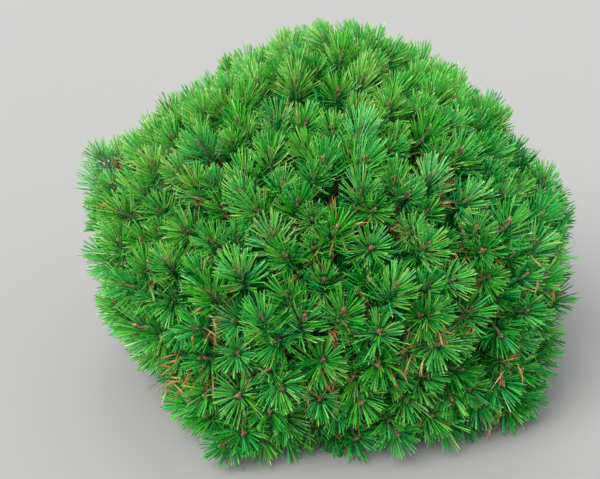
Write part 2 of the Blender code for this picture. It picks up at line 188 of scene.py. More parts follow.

# Plain tints from deep to pale: for a needle's foot, deep as painted shade where the feet crowd round the
# shoot, for its blade on three ladders, and for its tip
FOOT_GREENS = ((0, 66, 16), (4, 90, 28), (12, 114, 42))
COOL_GREENS = ((0, 70, 14), (0, 98, 30), (10, 126, 46), (34, 150, 66), (62, 164, 86), (90, 172, 104))
PLAIN_GREENS = ((0, 78, 6), (4, 108, 18), (24, 136, 34), (54, 158, 52), (84, 168, 72), (114, 176, 92))
YELLOW_GREENS = ((2, 82, 0), (16, 114, 8), (46, 142, 22), (78, 164, 40), (108, 174, 62), (136, 180, 86))
TIP_GREENS = ((32, 114, 34), (66, 142, 50), (100, 160, 66), (130, 170, 88), (156, 180, 112))
DEAD_TINTS = ((164, 116, 62), (124, 86, 46), (192, 152, 96))
BUD_TINTS = ((94, 68, 48), (136, 102, 76), (172, 144, 118), (158, 104, 70))
NEEDLE_ROUGHNESS, DEAD_ROUGHNESS, BUD_ROUGHNESS = 0.38, 0.6, 0.5
NEEDLE_GLOSS = (0.06, 0.45)  # specular level of the deepest and the palest tint

# A spray's warmth and level: the warmth picks its ladder, cool below -0.5 and yellow above 0.5, and the
# level is its place on it, from 0. Both rise towards the top and the lit side of the crown, as painted
# light, and fall towards the ground and the shady side, as painted shade
WARMTH = (-0.45, 0.5)  # at the ground and at the top
SPRAY_WARMTH, PAIR_WARMTH = 0.4, 0.7  # how far sprays stray from it, and pairs from their spray
LEVEL, LEVEL_BY_HEIGHT, LEVEL_BY_VIGOUR, EVEN_VIGOUR = 2.1, 1.45, 1.3, 0.9
SPRAY_LEVEL, PAIR_LEVEL = 0.5, 0.85  # how far sprays stray from it, and pairs from their spray
# Painted shade: sprays turn cooler and deeper towards the shady side
COOL_SIDE, DARK_SIDE = 0.3, 0.35  # how much cooler and how much deeper they are towards the shady side
# The flat side is paler for its pale band, and also as a painted highlight of the sheen along it
FOOT_PACE, FLAT_PALER, TIP_PACE, TIP_DEEPER = 0.5, 0.8, 0.85, 0.45

# Needles as closed shapes between two points. A live one has two rings of three corners, two on its flat
# side and one on its round side. Each triangle belongs to a part: 0 the foot, 1 the blade, 2 the blade's
# flat side, 3 the tip. An old one has one ring of two corners, which makes it a narrow kite
LIVE_TRIANGLES = np.array(
    [(0, 2, 1), (0, 3, 2), (0, 1, 3), (1, 2, 5), (1, 5, 4), (2, 3, 6), (2, 6, 5), (3, 1, 4), (3, 4, 6)]
    + [(4, 5, 7), (5, 6, 7), (6, 4, 7)]
)
LIVE_PARTS = np.array([0, 0, 0, 2, 2, 1, 1, 1, 1, 3, 3, 3])
OLD_TRIANGLES = np.array([(0, 2, 1), (3, 1, 2), (0, 3, 2), (0, 1, 3)])
LIVE_CORNERS, OLD_CORNERS = 3, 2
LIVE_POINTS, OLD_POINTS = 8, 4

# The view: the heart of the crown lies at this pixel of a 600 by 479 picture
IMAGE_WIDTH, IMAGE_HEIGHT = 600, 479
HEART_PIXEL = (326, 219)
CAMERA_ELEVATION = 27
CAMERA_DISTANCE = 2.2
PIXELS_PER_METRE = 546
SENSOR_WIDTH = 36

# Floor and light. Each sun has its name, azimuth, elevation, spread in degrees and power
FLOOR_COLOUR, FLOOR_ROUGHNESS, FLOOR_REACH = (0.22, 0.215, 0.205), 0.9, 40.0
SKY_COLOUR, SKY_STRENGTH = (0.90, 0.95, 1.0, 1), 1.33
SUNS = (("key_light", -130, 50, 40, 5.3), ("back_light", 95, 50, 40, 0.7))


def direction(azimuth, elevation):
    """The unit vector at these angles, in degrees."""
    a, e = math.radians(azimuth), math.radians(elevation)
    return np.array((math.cos(a) * math.cos(e), math.sin(a) * math.cos(e), math.sin(e)))


def unit(vectors):
    return vectors / np.linalg.norm(vectors, axis=-1, keepdims=True)


def lerp(low, high, share):
    return low + (high - low) * share


def degrees_between(ways, way):
    return np.degrees(np.arccos(np.clip(ways @ way, -1, 1)))


def mass_list():
    """Each mass's names, ring, place in its ring and outward direction, by the source's rule."""
    rng = np.random.default_rng(SEED)
    masses = []
    for ring, count, elevation, first in RINGS:
        for i in range(count):
            name = ring if count == 1 else f"{ring}_{i + 1}"
            stray = UNEVENNESS * rng.uniform(-1, 1, 2)
            way = direction(first + 360 * i / count + stray[0], elevation + (count > 1) * stray[1])
            node = name.replace(ring, f"{ring}_foliage")
            bough = name.replace(ring, f"{ring}_bough")
            masses.append({"name": name, "node": node, "bough": bough, "ring": ring, "place": i, "way": way})
    return masses


MASSES = mass_list()


def crown_radius(ways):
    """From the heart to the buds: level sections are ellipses, upright ones superellipses, with swells, and a
    groove where two masses meet."""
    half_x, half_y = CROWN_WIDTH / 2 - NEEDLE_REACH, CROWN_DEPTH / 2 - NEEDLE_REACH
    half_up = CROWN_HEIGHT - NEEDLE_REACH - WAIST_HEIGHT
    above = ways[..., 2] > 0
    power = np.where(above, *FULLNESS)
    level = np.linalg.norm(ways[..., :2] / (half_x, half_y), axis=-1)
    upright = np.abs(ways[..., 2]) / np.where(above, half_up, ROOM_BELOW)
    radius = (level**power + upright**power) ** (-1 / power)
    for azimuth, elevation, spread, share in SWELLS:
        away = degrees_between(ways, direction(azimuth, elevation)) / spread
        radius = radius * (1 + share * np.exp(-(away**2)))
    nearest = np.sort([degrees_between(ways, mass["way"]) for mass in MASSES], axis=0)
    return radius * (1 - GROOVE * np.exp(-(((nearest[1] - nearest[0]) / GROOVE_WIDTH) ** 2)))


def share_of_crown(points):
    """0 at the heart and 1 at the buds."""
    return np.linalg.norm(points - HEART, axis=-1) / crown_radius(unit(points - HEART))


def outward(points, step=0.02):
    """The crown's outward direction, from the slope of share_of_crown."""
    steps = step * np.eye(3)
    return unit(np.stack([share_of_crown(points + s) - share_of_crown(points - s) for s in steps], -1))


def crown_points(rng, tries, heights, share=1.0):
    """Random points on the crown between two heights. With a share, the crown is that much smaller."""
    ways = unit(rng.normal(size=(tries, 3)))
    points = HEART + share * ways * crown_radius(ways)[:, None]
    return points[(points[:, 2] > heights[0]) & (points[:, 2] < heights[1])]


def scatter_buds(kept, spacing, seed, heights, share=1.0):
    """Adds points on the crown in a seeded random order, each where no earlier one is too near."""
    for point in crown_points(np.random.default_rng(seed), BUD_TRIES, heights, share):
        if not len(kept) or np.linalg.norm(kept - point, axis=1).min() > spacing:
            kept = np.vstack([kept, point])
    return kept


def shoot_axes(buds):
    """Outwards, with a lift that grows with the height."""
    low, high = SHOOT_LIFT
    lift = low + (high - low) * buds[:, 2:] / CROWN_HEIGHT
    return unit(outward(buds) + lift * UP)


def fork(node, ends, twigs):
    """Splits the ends in two across their widest spread, with a fork part of the way to each half, until each
    has a twig of its own. A twig is its start, its end and the number of ends it carries."""
    if len(ends) == 1:
        twigs.append((node, ends[0], 1))
        return
    middle = ends.mean(0)
    widest = np.linalg.svd(ends - middle)[2][0]
    half = (ends - middle) @ widest > 0
    for side in (ends[half], ends[~half]):
        point = node + FORK_STEP * (side.mean(0) - node)
        twigs.append((node, point, len(side)))
        fork(point, side, twigs)


def cubic(t, start, a, b, end):
    """The cubic curve from start to end that leaves towards a and arrives from b."""
    return (1 - t) ** 3 * start + 3 * (1 - t) ** 2 * t * a + 3 * (1 - t) * t**2 * b + t**3 * end


class Signal:
    """A node's output in an expression on values, which adds its Math nodes."""

    def __init__(self, finish, socket):
        self.finish = finish
        self.socket = socket

    def maths(self, operation, *values):
        return self.finish.node("Math", {"operation": operation}, *values)

    def __add__(self, other):
        return self.maths("ADD", self, other)

    __radd__ = __add__

    def __mul__(self, other):
        return self.maths("MULTIPLY", self, other)

    __rmul__ = __mul__

    def __pow__(self, other):
        return self.maths("POWER", self, other)


class Finish:
    """A material with a Principled shader. Plain values are set on its own sockets."""

    def __init__(self, name, **plain):
        self.material = bpy.data.materials.new(name)
        self.material.use_nodes = True
        self.tree = self.material.node_tree
        self.shader = self.tree.nodes["Principled BSDF"]
        self.drive(**plain)

    def set(self, socket, value):
        """Links a signal, or sets a plain value. A colour may leave out its alpha."""
        if isinstance(value, Signal):
            self.tree.links.new(value.socket, socket)
        elif socket.type == "RGBA" and len(value) == 3:
            socket.default_value = (*value, 1)
        else:
            socket.default_value = value

    def node(self, kind, settings=None, *values, output=0, **named):
        """Any node: its settings first, then its sockets by order or by name."""
        made = self.tree.nodes.new("ShaderNode" + kind)
        for setting, value in (settings or {}).items():
            setattr(made, setting, value)
        for socket, value in zip(made.inputs, values):
            self.set(socket, value)
        for name, value in named.items():
            self.set(made.inputs[name.replace("_", " ")], value)
        return Signal(self, made.outputs[output])

    def mix(self, share, low, high):
        """A colour between two others. The node's sockets for colours are its seventh, eighth and third."""
        made = self.tree.nodes.new("ShaderNodeMix")
        made.data_type = "RGBA"
        for index, value in ((0, share), (6, low), (7, high)):
            self.set(made.inputs[index], value)
        return Signal(self, made.outputs[2])

    def place(self):
        return self.node("TexCoord", output="Object")

    def attribute(self, name):
        return self.node("Attribute", {"attribute_name": name}, output="Fac")

    def drive(self, **sockets):
        """Sets or links the shader's own sockets."""
        for socket, value in sockets.items():
            self.set(self.shader.inputs[socket.replace("_", " ")], value)


def colour(red, green, blue):
    """A colour from its picture values, 0 to 255, to the linear values of a shader."""
    shares = np.array((red, green, blue)) / 255
    linear = np.where(shares < 0.04045, shares / 12.92, ((shares + 0.055) / 1.055) ** 2.4)
    return tuple(linear.tolist())


def mesh_piece(name, points, triangles, finishes, slots=None, smooth=False, **attributes):
    """A mesh from arrays: points, triangles by index, and the slot of each triangle."""
    mesh = bpy.data.meshes.new(name)
    mesh.vertices.add(len(points))
    mesh.vertices.foreach_set("co", points.astype(np.float32).ravel())
    mesh.loops.add(3 * len(triangles))
    mesh.loops.foreach_set("vertex_index", triangles.astype(np.int32).ravel())
    mesh.polygons.add(len(triangles))
    mesh.polygons.foreach_set("loop_start", np.arange(0, 3 * len(triangles), 3, dtype=np.int32))
    for finish in finishes:
        mesh.materials.append(finish.material)
    if slots is not None:
        mesh.polygons.foreach_set("material_index", slots.astype(np.int32).ravel())
    for attribute, values in attributes.items():
        layer = mesh.attributes.new(attribute, "FLOAT", "POINT")
        layer.data.foreach_set("value", values.astype(np.float32).ravel())
    mesh.polygons.foreach_set("use_smooth", np.full(len(triangles), smooth))
    mesh.update(calc_edges=True)
    mesh.validate()
    piece = bpy.data.objects.new(name, mesh)
    bpy.context.scene.collection.objects.link(piece)
    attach(piece, "root")
    return piece


def repeated(triangles, shapes, points_each):
    """The triangles of one shape, for that many shapes one after the other."""
    return (triangles[None] + points_each * np.arange(shapes)[:, None, None]).reshape(-1, 3)


def tube_triangles(rows, columns):
    """A closed tube's triangles, for points in rows round it: its wall, then a fan over each end."""
    row, column = np.meshgrid(np.arange(rows - 1), np.arange(columns), indexing="ij")
    after = (column + 1) % columns
    a, b = row * columns + column, row * columns + after
    wall = np.stack([a, b, b + columns, a, b + columns, a + columns], -1).reshape(-1, 3)
    k = np.arange(1, columns - 1)
    foot = np.stack([0 * k, k + 1, k], -1)
    last = (rows - 1) * columns
    tip = np.stack([0 * k + last, k + last, k + 1 + last], -1)
    return np.vstack([wall, foot, tip])


def tube_points(paths, radii, columns):
    """Rings square to each path, whose last two axes are its points. The radius may change round the ring."""
    along = unit(np.gradient(paths, axis=-2))
    middle = unit(paths[..., -1:, :] - paths[..., :1, :])
    helper = np.where(np.abs(middle[..., 2:]) < STEEP, UP, RIGHT)
    side = unit(np.cross(helper, along))
    other = np.cross(along, side)
    angle = 2 * np.pi * np.arange(columns) / columns
    ring = np.cos(angle)[:, None] * side[..., None, :] + np.sin(angle)[:, None] * other[..., None, :]
    return paths[..., None, :] + radii[..., None] * ring


def lattice_noise(u, v, columns, seed):
    """Smooth noise from 0 to 1 on a lattice that repeats round u, by blending each cell's corners."""
    table = np.random.default_rng(seed).random((columns, NOISE_ROWS))
    iu, iv = np.floor(u).astype(int), np.floor(v).astype(int)
    fu, fv = u - iu, v - iv
    fu, fv = fu * fu * (3 - 2 * fu), fv * fv * (3 - 2 * fv)
    iu, iv, ju, jv = iu % columns, iv % NOISE_ROWS, (iu + 1) % columns, (iv + 1) % NOISE_ROWS
    return lerp(lerp(table[iu, iv], table[ju, iv], fu), lerp(table[iu, jv], table[ju, jv], fu), fv)


def bark_relief(turn, length, columns, plate, seed):
    """Plates and furrows, 0 in a furrow and 1 on a plate: the valleys of a noise drawn out along the limb,
    with the shallower valleys of a second across it, both warped by a third, and a little of a fine one. Turn
    is 0 to 1 round the limb, columns is how many plates go round it, and plate is their length."""
    around, along = turn * columns, length / plate
    warp = lattice_noise(around, along * WARP_PACE, columns, seed) - 0.5
    u, v = around + WARP[0] * warp, along + WARP[1] * warp
    furrows = np.abs(2 * lattice_noise(u, v, columns, seed + 1) - 1)
    cracks = np.abs(2 * lattice_noise(u, CRACK_PACE * v, columns, seed + 2) - 1)
    fine = lattice_noise(around * FINE_PACE[0], along * FINE_PACE[1], columns * FINE_PACE[0], seed + 3)
    cracks = lerp(CRACK_LEVEL, 1, np.clip(CRACK_SLOPE * cracks, 0, 1))
    plates = np.clip(FURROW_SLOPE * furrows, 0, 1) * cracks
    return np.clip((1 - FINE_SHARE) * plates + FINE_SHARE * fine, 0, 1)


def trunk_centre(heights, tip_height):
    return np.stack([-TRUNK_BOW * np.sin(np.pi * heights / tip_height), 0 * heights, heights], -1)


def trunk_radius(heights, tip_height, angle):
    """A straight taper, and a flare that spreads into the roots at the foot."""
    lobes = 0.5 + 0.5 * np.cos(FLARE_LOBES * angle)
    taper = TRUNK_FOOT_RADIUS + (TRUNK_TIP_RADIUS - TRUNK_FOOT_RADIUS) * heights / tip_height
    return taper + FLARE_RADIUS * np.exp(-heights / FLARE_HEIGHT) * lerp(FLARE_BETWEEN, 1, lobes)


def trunk_piece(tip_height, finish):
    """The source's trunk with its bark, whose furrows are cut inwards from near the source's radius."""
    share = np.linspace(0, 1, TRUNK_ROWS)[:, None]
    heights = tip_height * share**TRUNK_CROWDING
    angle = np.linspace(0, 2 * np.pi, TRUNK_COLUMNS, endpoint=False)[None]
    turn = angle / (2 * np.pi) + 0 * heights
    relief = bark_relief(turn, heights + 0 * angle, *TRUNK_PLATES, TRUNK_BARK_SEED)
    radius = trunk_radius(heights, tip_height, angle)
    radius = radius + TRUNK_BARK_DEPTH * (relief - KEPT_LEVEL) * (radius / TRUNK_FOOT_RADIUS) ** 0.5
    spoke = np.stack([np.cos(angle) + 0 * heights, np.sin(angle) + 0 * heights, 0 * turn], -1)
    points = trunk_centre(heights, tip_height) + radius[..., None] * spoke
    triangles = tube_triangles(TRUNK_ROWS, TRUNK_COLUMNS)
    piece = mesh_piece("trunk_bark", points.reshape(-1, 3), triangles, [finish], smooth=True, relief=relief)
    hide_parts("trunk")


def bough_path(mass, tip_height, points):
    """The source's curve, which leaves the trunk at its rise and ends straight along the mass's direction."""
    heights, rise = BOUGH_HEIGHTS[mass["ring"]], math.radians(BOUGH_RISE[mass["ring"]])
    start = trunk_centre(np.array(heights[mass["place"] % len(heights)]), tip_height)
    leaving = math.cos(rise) * unit(mass["way"] * (1, 1, 0)) + math.sin(rise) * UP
    end = mass["stem"] - 2 * mass["stem_radius"] * mass["way"]
    pull = BOUGH_PULL * np.linalg.norm(end - start)
    t = np.linspace(0, 1, points)[:, None]
    return cubic(t, start, start + pull * leaving, end - pull * mass["way"], end)


def boughs_piece(tip_height, finish):
    """Every bough with its bark, and a collar where it leaves the trunk. Its curve starts just inside the
    trunk's wall, and its points lie evenly along it."""
    points, reliefs = [], []
    for i, mass in enumerate(MASSES[1:]):
        path = np.vstack([bough_path(mass, tip_height, BOUGH_POINTS), mass["stem"]])
        axis = trunk_centre(path[:, 2], tip_height)
        from_axis = np.linalg.norm(path - axis, axis=1)
        wall = trunk_radius(path[:, 2], tip_height, COLLAR_ANGLE)
        path = path[max(np.argmax(from_axis > wall) - HIDDEN_POINTS, 0):]
        gone = np.concatenate([[0], np.cumsum(np.linalg.norm(np.diff(path, axis=0), axis=1))])
        along = np.linspace(0, gone[-1], BOUGH_ROWS)
        path = np.stack([np.interp(along, gone, path[:, k]) for k in range(3)], -1)
        radius = np.linspace(*BOUGH_RADII[mass["ring"]], BOUGH_ROWS) + COLLAR * np.exp(-along / COLLAR_LENGTH)
        turn = np.arange(BOUGH_COLUMNS)[None] / BOUGH_COLUMNS + 0 * along[:, None]
        relief = bark_relief(turn, along[:, None] + 0 * turn, *BOUGH_PLATES, BOUGH_BARK_SEED + i)
        grown = radius[:, None] + BOUGH_BARK_DEPTH * (relief - KEPT_LEVEL)
        points.append(tube_points(path, grown, BOUGH_COLUMNS).reshape(-1, 3))
        reliefs.append(relief)
    each = tube_triangles(BOUGH_ROWS, BOUGH_COLUMNS)
    triangles = repeated(each, len(points), BOUGH_ROWS * BOUGH_COLUMNS)
    points, reliefs = np.vstack(points), np.array(reliefs)
    piece = mesh_piece("bough_bark", points, triangles, [finish], smooth=True, relief=reliefs)
    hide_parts(*[mass["bough"] for mass in MASSES[1:]])


def bark_finish():
    """Ash-grey plates over red-brown furrows, by the relief in the mesh, with lichen-pale blotches."""
    finish = Finish("pine_bark")
    relief, place = finish.attribute("relief"), finish.place()
    blotches = finish.node("TexNoise", None, Vector=place, Scale=55.0, Detail=5.0)
    grain = finish.node("TexNoise", None, Vector=place, Scale=420.0, Detail=3.0)
    furrow = finish.mix(grain, colour(52, 34, 26), colour(96, 62, 46))
    plate = finish.mix(blotches, colour(92, 82, 74), colour(168, 158, 146))
    finish.drive(
        Base_Color=finish.mix(relief**1.5, furrow, plate),
        Roughness=0.78 + 0.16 * grain,
        Normal=finish.node("Bump", None, Strength=0.5, Distance=0.001, Height=grain + 0.6 * blotches),
    )
    return finish


def twig_finish():
    """Brown shoots that turn grey with age, which the mesh holds as 0 to 1, with leaf scars."""
    finish = Finish("twig_bark")
    age, place = finish.attribute("age"), finish.place()
    scars = finish.node("TexNoise", None, Vector=place, Scale=320.0, Detail=2.0)
    young = finish.mix(scars, colour(78, 78, 46), colour(130, 126, 84))
    old = finish.mix(scars, colour(62, 52, 46), colour(128, 118, 108))
    finish.drive(
        Base_Color=finish.mix(age, young, old),
        Roughness=0.68 + 0.2 * scars,
        Normal=finish.node("Bump", None, Strength=0.6, Distance=0.0008, Height=scars),
    )
    return finish


def needle_points(foot, rings, tip, flat, corners):
    """The foot, then each ring's corners, then the tip. Flat is the direction that the flat side faces, and
    a ring is its centre and its share of the width: two corners on the flat side, and maybe one opposite."""
    along = unit(tip - foot)
    across = unit(np.cross(along, flat))
    face = np.cross(across, along)
    points = [foot]
    for centre, size in rings:
        raised = centre + size * FLAT_SIDE * NEEDLE_THICKNESS * face
        half = size * NEEDLE_WIDTH / 2 * across
        lowered = centre - size * ROUND_SIDE * NEEDLE_THICKNESS * face
        points += [raised - half, raised + half, lowered][:corners]
    return np.stack([*points, tip], -2)


def above_floor(points):
    """Points that would reach the ground are raised to lie on it."""
    return np.concatenate([points[..., :2], np.maximum(points[..., 2:], FLOOR_GAP)], -1)


def shoot_frames(axes, rng):
    """Two directions square to each shoot, turned at random."""
    side = unit(np.cross(axes, unit(rng.normal(size=axes.shape))))
    return side, np.cross(axes, side)


def paired_needles(foot, axis, spoke, angle, length, spread, rings, corners, rng):
    """Both needles of each pair, from the pair's foot: they part across a random direction, stand off in the
    middle and lean in again at the tip. The last axes are the two needles and their points."""
    lean = np.radians(angle)[..., None]
    way = np.cos(lean) * axis + np.sin(lean) * spoke
    inward = np.cos(lean) * -spoke + np.sin(lean) * axis
    around = np.cross(way, inward)
    twist = rng.uniform(0, 2 * np.pi, angle.shape)[..., None]
    parting = np.cos(twist) * inward + np.sin(twist) * around
    bend = np.tan(np.radians(rng.uniform(*NEEDLE_BEND, angle.shape)))[..., None]
    needles = []
    for sign in (-1, 1):
        apart = (spread * rng.uniform(*SPREAD_STRAY, angle.shape))[..., None]
        reach = length[..., None] * rng.uniform(*REACH_STRAY, angle.shape)[..., None]
        line = way + sign * apart * parting
        centres = []
        for place, size in rings:
            off = bend * (1 - 2 * place)
            centres.append((above_floor(foot + place * reach * (line - off * inward)), size))
        tip = above_floor(foot + reach * (line + bend * inward))
        needles.append(needle_points(foot, centres, tip, -sign * parting, corners))
    return np.stack(needles, -3)


def live_needles(buds, axes, vigour, rng):
    """The pairs round every shoot, each a golden angle on from the last: steep at the tip and spread at the
    foot, longer with the shoot's vigour, and shorter and finer towards the top of the crown."""
    side, other = shoot_frames(axes, rng)
    order = (np.arange(PAIRS) + 0.5) / PAIRS
    shape = (len(buds), PAIRS)
    turn = GOLDEN_ANGLE * np.arange(PAIRS) + rng.uniform(-TURN_STRAY, TURN_STRAY, shape)
    spoke = np.cos(turn)[..., None] * side[:, None] + np.sin(turn)[..., None] * other[:, None]
    back = BARE_TIP + CLOTHED_LENGTH * order[None] * vigour[:, None]
    foot = buds[:, None] - back[..., None] * axes[:, None] + LIVE_FOOT * SHOOT_RADIUS * spoke
    height = buds[:, 2:] / CROWN_HEIGHT
    angle = lerp(lerp(*TIP_ANGLES, height), lerp(*FOOT_ANGLES, height), order[None] ** ANGLE_CURVE)
    angle = angle + ANGLE_STRAY * rng.normal(size=shape)
    length = lerp(*NEEDLE_LENGTH, order[None] ** LENGTH_CURVE) * (1 - SHORTER_ABOVE * height)
    length = length * rng.uniform(*LENGTH_STRAY, shape) * vigour[:, None] ** LENGTH_BY_VIGOUR
    spread = lerp(*PAIR_SPREAD, height)
    rings = [(place, size * (1 - FINER_ABOVE * height)[..., None]) for place, size in NEEDLE_RINGS]
    return paired_needles(foot, axes[:, None], spoke, angle, length, spread, rings, LIVE_CORNERS, rng)


def needle_slots(buds, vigour, rng):
    """The slot of every triangle of the live needles. A spray has a level on a ladder of blade tints, paler
    for strong shoots and, as painted light and painted shade, paler towards the top and the lit side of the
    crown, and a warmth that picks the cool, the plain or the yellow ladder, warmer towards the top and the
    lit side, again as painted light and painted shade. Each pair strays from both, and foot and tip follow
    the level."""
    height = buds[:, 2] / CROWN_HEIGHT
    shady = buds[:, 0] / (CROWN_WIDTH / 2)
    # Painted light and shade: paler with the height, deeper towards the shady side
    level = LEVEL + LEVEL_BY_HEIGHT * height + LEVEL_BY_VIGOUR * (vigour - EVEN_VIGOUR) - DARK_SIDE * shady
    level = level + SPRAY_LEVEL * rng.normal(size=len(buds))
    pair = level[:, None, None] + PAIR_LEVEL * rng.normal(size=(len(buds), PAIRS, 1)) + np.zeros(2)
    feet, blades, tips = len(FOOT_GREENS), len(PLAIN_GREENS), len(TIP_GREENS)
    # Painted light and shade: warmer with the height, cooler towards the shady side
    warmth = lerp(*WARMTH, height) - COOL_SIDE * shady + SPRAY_WARMTH * rng.normal(size=len(buds))
    warmth = warmth[:, None, None] + PAIR_WARMTH * rng.normal(size=pair.shape[:2] + (1,))
    ladder = feet + blades * np.clip(np.round(warmth + 1), 0, 2)
    # The foot keeps deep tints: painted shade among the crowded feet
    foot = np.clip(np.round(FOOT_PACE * pair), 0, feet - 1)
    blade = ladder + np.clip(np.round(pair), 0, blades - 1)
    # Flat side: its pale band, and a painted highlight of its sheen
    flat = ladder + np.clip(np.round(pair + FLAT_PALER), 0, blades - 1)
    tip = feet + 3 * blades + np.clip(np.round(TIP_PACE * pair - TIP_DEEPER), 0, tips - 1)
    return np.stack([foot, blade, flat, tip], -1)[..., LIVE_PARTS]


def grow_shoots(rng):
    """The buds, axes and vigour of every shoot."""
    buds, sunk, vigour = np.empty((0, 3)), np.empty(0), np.empty(0)
    for i, (spacing, heights, depths, vigours) in enumerate(SHOOTS):
        buds = scatter_buds(buds, spacing, SEED + i, heights)
        more = len(buds) - len(sunk)
        sunk = np.append(sunk, rng.uniform(*depths, more))
        vigour = np.append(vigour, rng.uniform(*vigours, more))
    axes = shoot_axes(buds) + TIP_LIFT * buds[:, 2:] / CROWN_HEIGHT * UP
    buds = buds - sunk[:, None] * outward(buds) + BUD_STRAY * rng.normal(size=buds.shape)
    axes = unit(axes + SHOOT_STRAY * rng.normal(size=axes.shape))
    return buds, axes, vigour


def build_live_needles(needles, slots, nearest, finishes):
    """One piece for each mass, with the needles of the shoots that are nearest to its seed."""
    for i, mass in enumerate(MASSES):
        chosen = nearest == i
        points = needles[chosen].reshape(-1, 3)
        triangles = repeated(LIVE_TRIANGLES, len(points) // LIVE_POINTS, LIVE_POINTS)
        piece = mesh_piece(mass["name"] + "_needles", points, triangles, finishes, slots[chosen])
        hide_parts(mass["node"])


def build_foliage(finishes):
    """Every shoot with its needles and buds, the twigs that carry them, and the older needles behind."""
    rng = np.random.default_rng(FOLIAGE_SEED)
    buds, axes, vigour = grow_shoots(rng)
    nearest = np.argmin([np.linalg.norm(buds - mass["seed"], axis=1) for mass in MASSES], axis=0)
    needles = live_needles(buds, axes, vigour, rng)
    build_live_needles(needles, needle_slots(buds, vigour, rng), nearest, finishes["greens"])
    none = np.empty((0, 3))
    shade = np.vstack([scatter_buds(none, spacing, SHADE_SEED, *more) for spacing, *more in SHADE_LAYERS])
    shade_axes = unit(shoot_axes(shade) + SHADE_STRAY * rng.normal(size=shade.shape))
    shoots, shades, twigs = build_twigs(buds, axes, vigour, nearest, shade, shade_axes, finishes["twig"])
    mixed = finishes["greens"] + finishes["dead"]
    build_old_needles("old_needles", shoots, OLD_PAIRS, OLD_RING, CLOTHED_LENGTH, OLD_CLOTHED, mixed, rng)
    build_old_needles("shade_needles", shades, SHADE_PAIRS, SHADE_RING, 0, SHADE_CLOTHED, mixed, rng)
    lengths = np.linalg.norm(twigs[:, -1] - twigs[:, 0], axis=1)
    inner = twigs[rng.choice(len(twigs), INNER_GROUPS, p=lengths / lengths.sum())]
    build_old_needles("inner_needles", inner, INNER_PAIRS, INNER_RING, 0, INNER_CLOTHED, mixed, rng)
    build_buds(buds, axes, vigour, finishes["buds"], rng)
    build_caught_needles(finishes["dead"])


def curved(start, end, leaving, arriving, pull, rings):
    """Curves from start to end, with these directions at the two ends. The pull is how far the curve follows
    each, as a share of its span."""
    t = np.linspace(0, 1, rings)[:, None]
    span = pull * np.linalg.norm(end - start, axis=-1, keepdims=True)
    a, b = (start + span * leaving)[:, None], (end - span * arriving)[:, None]
    return cubic(t, start[:, None], a, b, end[:, None])


def side_shoot_starts(tips, paths):
    """The nearest point of any twig that lies deeper in the crown than each tip."""
    knots = paths.reshape(-1, 3)
    deeper = share_of_crown(knots)[None] < share_of_crown(tips)[:, None] - DEEPER
    apart = np.linalg.norm(tips[:, None] - knots[None], axis=-1)
    return knots[np.argmin(np.where(deeper, apart, np.inf), axis=1)]


def build_twigs(buds, axes, vigour, nearest, shade, shade_axes, finish):
    """Every mass's stem, its forking twigs, the shoots that they end in, and the side shoots in the shade.
    Returns the curves of the shoots, of the side shoots and of the twigs."""
    starts, ends, carried = [], [], []
    shoot_starts = np.zeros_like(buds)
    for i, mass in enumerate(MASSES):
        chosen = np.flatnonzero(nearest == i)
        goals = HEART + FORK_ROOM * (buds[chosen] - HEART)
        twigs = [(mass["stem"], mass["seed"], len(chosen))]
        fork(mass["seed"], goals, twigs)
        lookup = {tuple(goal): bud for goal, bud in zip(goals, chosen)}
        for start, end, count in twigs:
            if count == 1 and tuple(end) in lookup:
                shoot_starts[lookup[tuple(end)]] = start
            else:
                starts.append(start)
                ends.append(end)
                carried.append(count)
    starts, ends, carried = np.array(starts), np.array(ends), np.array(carried)
    way = unit(ends - starts)
    twig_paths = curved(starts, ends, way, unit(way + TWIG_LIFT * UP), TWIG_PULL, TWIG_RINGS)
    twig_radii = np.minimum(TIP_TWIG_RADIUS * carried**TWIG_GROWTH, WIDEST_TWIG)[:, None]
    twig_radii = twig_radii * np.linspace(*TWIG_TAPER, TWIG_RINGS)
    twig_ages = np.clip(TWIG_AGE + TWIG_AGEING * np.log2(carried), 0, 1)[:, None]
    behind = buds - BUD_OVERLAP * axes
    shoot_paths = curved(shoot_starts, behind, unit(behind - shoot_starts), axes, SHOOT_PULL, SHOOT_RINGS)
    shoot_radii = np.linspace(*SHOOT_TAPER, SHOOT_RINGS) * SHOOT_RADIUS * vigour[:, None]
    shade_starts = side_shoot_starts(shade, twig_paths)
    shade_paths = curved(shade_starts, shade, unit(shade - shade_starts), shade_axes, SHOOT_PULL, SHOOT_RINGS)
    shade_radii = np.full((len(shade), SHOOT_RINGS), SHADE_SHOOT_RADIUS)
    points, triangles, ages, offset = [], [], [], 0
    for paths, radii, age, sides in (
        (twig_paths, twig_radii, twig_ages, TWIG_SIDES),
        (shoot_paths, shoot_radii, np.linspace(*SHOOT_AGES, SHOOT_RINGS), SHOOT_SIDES),
        (shade_paths, shade_radii, np.linspace(*SHADE_AGES, SHOOT_RINGS), TWIG_SIDES),
    ):
        rows = paths.shape[1]
        points.append(tube_points(paths, radii[..., None] + np.zeros(sides), sides).reshape(-1, 3))
        triangles.append(offset + repeated(tube_triangles(rows, sides), len(paths), rows * sides))
        ages.append(((age + 0 * radii)[..., None] + np.zeros(sides)).ravel())
        offset += len(points[-1])
    points, triangles, ages = np.vstack(points), np.vstack(triangles), np.concatenate(ages)
    piece = mesh_piece("twigs", points, triangles, [finish], smooth=True, age=ages)
    return shoot_paths, shade_paths, twig_paths


def old_needles_piece(name, points, finishes, slots):
    """A piece of old needles, from the points of every pair and the slot of each."""
    triangles = repeated(OLD_TRIANGLES, points.size // (3 * OLD_POINTS), OLD_POINTS)
    slots = slots[..., None, None] + np.zeros((2, len(OLD_TRIANGLES)))
    piece = mesh_piece(name, points.reshape(-1, 3), triangles, finishes, slots)


